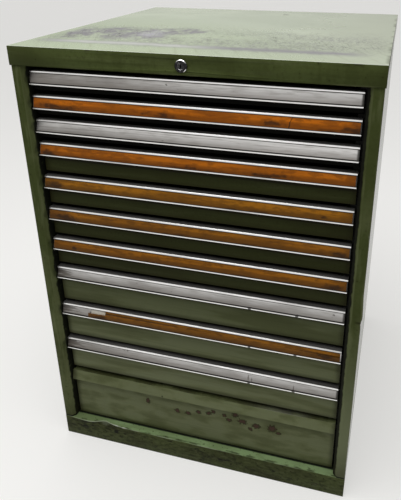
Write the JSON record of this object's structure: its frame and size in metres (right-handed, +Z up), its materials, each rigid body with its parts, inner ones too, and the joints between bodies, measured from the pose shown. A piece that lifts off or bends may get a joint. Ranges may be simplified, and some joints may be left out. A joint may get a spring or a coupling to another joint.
{
  "type": "workshop drawer cabinet",
  "caption": "Free-standing steel workshop cabinet with stacked full-extension drawers, slanted aluminium label handles and a single central lock in the top fascia",
  "frame": {"origin": "middle of the footprint, on the floor", "axes": "+Z up, the drawers open toward -Y, +X is the viewer's right when facing the front"},
  "size_m": [0.721, 0.7335, 1],
  "materials": {
    "green_paint": "worn semi-gloss olive green paint",
    "plinth_paint": "dirty dark green paint",
    "zinc_steel": "dull zinc-plated steel",
    "aluminium": "bare anodised extrusion, scuffed",
    "lock_chrome": "worn bright chrome",
    "label_cover": "clear plastic yellowed to amber",
    "label_card": "aged paper card"
  },
  "bodies": {
    "cabinet": {"base": "plinth_paint", "left_side_panel": "green_paint", "right_side_panel": "green_paint", "back_panel": "plinth_paint", "top_cover": "green_paint", "rear_uprights": "zinc_steel", "cabinet_rails": "zinc_steel", "housing_screws": "zinc_steel", "lock_barrel": "lock_chrome", "lock_nut": "zinc_steel", "lock_guides": "zinc_steel"},
    "lock_key": {"lock_plug": "lock_chrome", "lock_cam": "zinc_steel"},
    "lock_bolt": {"lock_bolt": "zinc_steel"},
    "lock_bar": {"lock_bar": "zinc_steel", "lock_hooks": "zinc_steel"},
    "drawer_01": {"drawer_01_tray": "green_paint", "drawer_01_handle": "aluminium"},
    "slides_01": {"drawer_01_slides": "zinc_steel"},
    "drawer_02": {"drawer_02_tray": "green_paint", "drawer_02_handle": "aluminium", "drawer_02_label_card": "label_card", "drawer_02_label_cover": "label_cover"},
    "slides_02": {"drawer_02_slides": "zinc_steel"},
    "drawer_03": {"drawer_03_tray": "green_paint", "drawer_03_handle": "aluminium"},
    "slides_03": {"drawer_03_slides": "zinc_steel"},
    "drawer_04": {"drawer_04_tray": "green_paint", "drawer_04_handle": "aluminium", "drawer_04_label_card": "label_card", "drawer_04_label_cover": "label_cover"},
    "slides_04": {"drawer_04_slides": "zinc_steel"},
    "drawer_05": {"drawer_05_tray": "green_paint", "drawer_05_handle": "aluminium", "drawer_05_label_card": "label_card", "drawer_05_label_cover": "label_cover"},
    "slides_05": {"drawer_05_slides": "zinc_steel"},
    "drawer_06": {"drawer_06_tray": "green_paint", "drawer_06_handle": "aluminium", "drawer_06_label_card": "label_card", "drawer_06_label_cover": "label_cover"},
    "slides_06": {"drawer_06_slides": "zinc_steel"},
    "drawer_07": {"drawer_07_tray": "green_paint", "drawer_07_handle": "aluminium", "drawer_07_label_card": "label_card", "drawer_07_label_cover": "label_cover"},
    "slides_07": {"drawer_07_slides": "zinc_steel"},
    "drawer_08": {"drawer_08_tray": "green_paint", "drawer_08_handle": "aluminium"},
    "slides_08": {"drawer_08_slides": "zinc_steel"},
    "drawer_09": {"drawer_09_tray": "green_paint", "drawer_09_handle": "aluminium", "drawer_09_label_card": "label_card", "drawer_09_label_cover": "label_cover"},
    "slides_09": {"drawer_09_slides": "zinc_steel"},
    "drawer_10": {"drawer_10_tray": "green_paint", "drawer_10_handle": "aluminium"},
    "slides_10": {"drawer_10_slides": "zinc_steel"},
    "drawer_11": {"drawer_11_tray": "green_paint"},
    "slides_11": {"drawer_11_slides": "zinc_steel"}
  },
  "joints": [
    {"name": "lock_bar_drop", "type": "slide", "parent": "cabinet", "child": "lock_bar", "axis": [0, 0, -1], "range_m": [0, 0.0075]},
    {"name": "lock_bolt_slide", "type": "slide", "parent": "cabinet", "child": "lock_bolt", "axis": [1, 0, 0], "range_m": [0, 0.01415]},
    {"name": "key_turn", "type": "hinge", "parent": "cabinet", "child": "lock_key", "pos_m": [0, -0.3625, 0.9795], "axis": [0, 1, 0], "range_deg": [0, 90]},
    {"name": "drawer_01_slide", "type": "slide", "parent": "cabinet", "child": "drawer_01", "axis": [0, -1, 0], "range_m": [0, 0.6]},
    {"name": "slides_01_follow", "type": "slide", "parent": "cabinet", "child": "slides_01", "axis": [0, -1, 0], "range_m": [0, 0.3]},
    {"name": "drawer_02_slide", "type": "slide", "parent": "cabinet", "child": "drawer_02", "axis": [0, -1, 0], "range_m": [0, 0.6]},
    {"name": "slides_02_follow", "type": "slide", "parent": "cabinet", "child": "slides_02", "axis": [0, -1, 0], "range_m": [0, 0.3]},
    {"name": "drawer_03_slide", "type": "slide", "parent": "cabinet", "child": "drawer_03", "axis": [0, -1, 0], "range_m": [0, 0.6]},
    {"name": "slides_03_follow", "type": "slide", "parent": "cabinet", "child": "slides_03", "axis": [0, -1, 0], "range_m": [0, 0.3]},
    {"name": "drawer_04_slide", "type": "slide", "parent": "cabinet", "child": "drawer_04", "axis": [0, -1, 0], "range_m": [0, 0.6]},
    {"name": "slides_04_follow", "type": "slide", "parent": "cabinet", "child": "slides_04", "axis": [0, -1, 0], "range_m": [0, 0.3]},
    {"name": "drawer_05_slide", "type": "slide", "parent": "cabinet", "child": "drawer_05", "axis": [0, -1, 0], "range_m": [0, 0.6]},
    {"name": "slides_05_follow", "type": "slide", "parent": "cabinet", "child": "slides_05", "axis": [0, -1, 0], "range_m": [0, 0.3]},
    {"name": "drawer_06_slide", "type": "slide", "parent": "cabinet", "child": "drawer_06", "axis": [0, -1, 0], "range_m": [0, 0.6]},
    {"name": "slides_06_follow", "type": "slide", "parent": "cabinet", "child": "slides_06", "axis": [0, -1, 0], "range_m": [0, 0.3]},
    {"name": "drawer_07_slide", "type": "slide", "parent": "cabinet", "child": "drawer_07", "axis": [0, -1, 0], "range_m": [0, 0.6]},
    {"name": "slides_07_follow", "type": "slide", "parent": "cabinet", "child": "slides_07", "axis": [0, -1, 0], "range_m": [0, 0.3]},
    {"name": "drawer_08_slide", "type": "slide", "parent": "cabinet", "child": "drawer_08", "axis": [0, -1, 0], "range_m": [0, 0.6]},
    {"name": "slides_08_follow", "type": "slide", "parent": "cabinet", "child": "slides_08", "axis": [0, -1, 0], "range_m": [0, 0.3]},
    {"name": "drawer_09_slide", "type": "slide", "parent": "cabinet", "child": "drawer_09", "axis": [0, -1, 0], "range_m": [0, 0.6]},
    {"name": "slides_09_follow", "type": "slide", "parent": "cabinet", "child": "slides_09", "axis": [0, -1, 0], "range_m": [0, 0.3]},
    {"name": "drawer_10_slide", "type": "slide", "parent": "cabinet", "child": "drawer_10", "axis": [0, -1, 0], "range_m": [0, 0.6]},
    {"name": "slides_10_follow", "type": "slide", "parent": "cabinet", "child": "slides_10", "axis": [0, -1, 0], "range_m": [0, 0.3]},
    {"name": "drawer_11_slide", "type": "slide", "parent": "cabinet", "child": "drawer_11", "axis": [0, -1, 0], "range_m": [0, 0.6]},
    {"name": "slides_11_follow", "type": "slide", "parent": "cabinet", "child": "slides_11", "axis": [0, -1, 0], "range_m": [0, 0.3]}
  ],
  "couplings": [
    {"joint": "lock_bolt_slide", "follows": "lock_bar_drop", "ratio": 1.8856},
    {"joint": "key_turn", "follows": "lock_bar_drop", "rad_per_m": 209.43},
    {"joint": "slides_01_follow", "follows": "drawer_01_slide", "ratio": 0.5},
    {"joint": "slides_02_follow", "follows": "drawer_02_slide", "ratio": 0.5},
    {"joint": "slides_03_follow", "follows": "drawer_03_slide", "ratio": 0.5},
    {"joint": "slides_04_follow", "follows": "drawer_04_slide", "ratio": 0.5},
    {"joint": "slides_05_follow", "follows": "drawer_05_slide", "ratio": 0.5},
    {"joint": "slides_06_follow", "follows": "drawer_06_slide", "ratio": 0.5},
    {"joint": "slides_07_follow", "follows": "drawer_07_slide", "ratio": 0.5},
    {"joint": "slides_08_follow", "follows": "drawer_08_slide", "ratio": 0.5},
    {"joint": "slides_09_follow", "follows": "drawer_09_slide", "ratio": 0.5},
    {"joint": "slides_10_follow", "follows": "drawer_10_slide", "ratio": 0.5},
    {"joint": "slides_11_follow", "follows": "drawer_11_slide", "ratio": 0.5}
  ]
}
